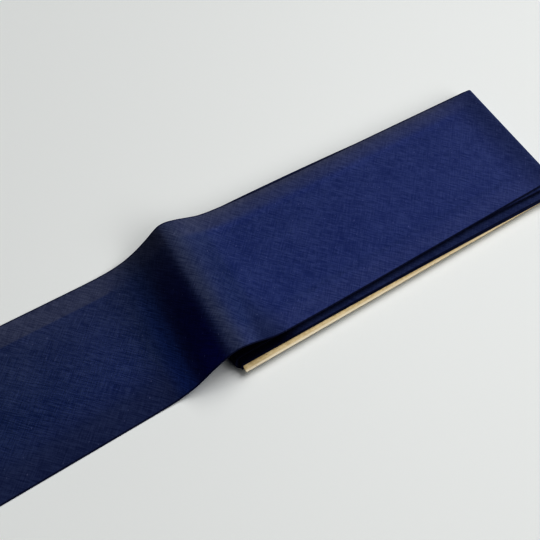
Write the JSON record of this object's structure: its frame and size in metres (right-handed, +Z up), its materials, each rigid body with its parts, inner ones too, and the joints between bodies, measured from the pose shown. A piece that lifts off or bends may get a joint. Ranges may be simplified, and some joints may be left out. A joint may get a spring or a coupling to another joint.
{
  "type": "bundle of bias tape",
  "caption": "Navy single-fold bias tape wound flat on a cream card, its loose outer end standing up over the bundle's end and lying flat.",
  "frame": {"origin": "on the surface that the bundle rests on, under the middle of its bounding box", "axes": "+X along the tape, from the loose end to the wound bundle's far end; +Y across it, away from the side where the card shows; +Z up"},
  "size_m": [0.225, 0.0537, 0.0145],
  "materials": {
    "navy_cloth": "plain weave on the bias, pressed, with a faint sheen",
    "cream_board": "matt, yellowed with age"
  },
  "bodies": {
    "root": {"bias_tape": "navy_cloth", "winding_card": "cream_board"}
  },
  "joints": []
}
